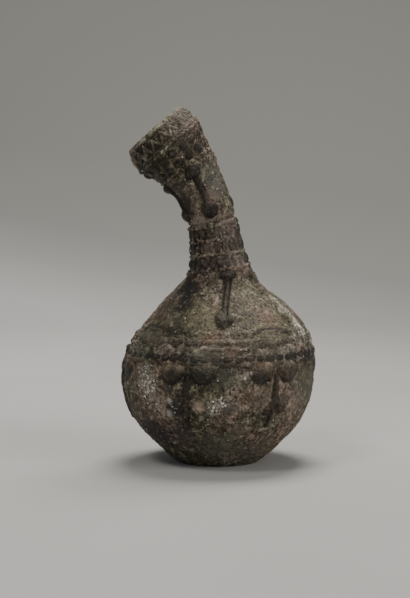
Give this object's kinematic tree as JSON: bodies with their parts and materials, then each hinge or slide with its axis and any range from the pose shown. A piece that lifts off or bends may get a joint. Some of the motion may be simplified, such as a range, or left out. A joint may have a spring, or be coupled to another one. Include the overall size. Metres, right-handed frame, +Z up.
{
  "type": "libation bottle",
  "caption": "Gourd-shaped cast bronze libation bottle with a round belly, a neck bent to one side, a bulbous mouth cut square, and relief of reeds, threads, pellets, pendants and lobes",
  "frame": {"origin": "middle of the foot's flat underside, which is the belly's upright axis", "axes": "+Z up from the foot; the neck leans and the mouth opens towards -X; the pictured front faces -Y"},
  "size_m": [0.1396, 0.1369, 0.2472],
  "materials": {
    "wall_bronze": "corroded, earthy matte",
    "relief_bronze": "dark brown patina, worn",
    "foot_bronze": "rough, dirty"
  },
  "bodies": {
    "root": {"belly_belt": "wall_bronze", "belly_lobe_left_1": "relief_bronze", "belly_lobe_left_2": "relief_bronze", "belly_lobe_left_3": "relief_bronze", "belly_lobe_left_4": "relief_bronze", "belly_lobe_left_5": "relief_bronze", "belly_lobe_left_6": "relief_bronze", "belly_lobe_right_1": "relief_bronze", "belly_lobe_right_2": "relief_bronze", "belly_lobe_right_3": "relief_bronze", "belly_lobe_right_4": "relief_bronze", "belly_lobe_right_5": "relief_bronze", "belly_lobe_right_6": "relief_bronze", "belly_stem_1": "relief_bronze", "belly_stem_2": "relief_bronze", "belly_stem_3": "relief_bronze", "belly_stem_4": "relief_bronze", "belly_stem_5": "relief_bronze", "belly_stem_6": "relief_bronze", "belt_arch_1": "relief_bronze", "belt_arch_2": "relief_bronze", "belt_arch_3": "relief_bronze", "belt_arch_4": "relief_bronze", "belt_pellets_lower": "relief_bronze", "belt_pellets_upper": "relief_bronze", "belt_thread_bottom": "relief_bronze", "belt_thread_wavy": "relief_bronze", "collar_reeds_1": "relief_bronze", "collar_reeds_2": "relief_bronze", "collar_reeds_3": "relief_bronze", "collar_thread_1": "relief_bronze", "collar_thread_2": "relief_bronze", "collar_thread_3": "relief_bronze", "collar_thread_4": "relief_bronze", "cup_pellets_lower": "relief_bronze", "cup_pellets_upper": "relief_bronze", "cup_ridge": "relief_bronze", "cup_thread": "relief_bronze", "cup_zigzag": "relief_bronze", "foot_disc": "foot_bronze", "lower_bowl": "wall_bronze", "mouth_cup": "wall_bronze", "mouth_lip": "wall_bronze", "neck_dumbbell_1": "relief_bronze", "neck_dumbbell_2": "relief_bronze", "neck_dumbbell_3": "relief_bronze", "neck_dumbbell_4": "relief_bronze", "neck_elbow": "wall_bronze", "neck_sleeve": "wall_bronze", "shoulder_pendant_1": "relief_bronze", "shoulder_pendant_2": "relief_bronze", "shoulder_pendant_3": "relief_bronze", "shoulder_pendant_4": "relief_bronze", "shoulder_pendant_5": "relief_bronze", "shoulder_pendant_6": "relief_bronze", "shoulder_shell": "wall_bronze"}
  },
  "joints": []
}
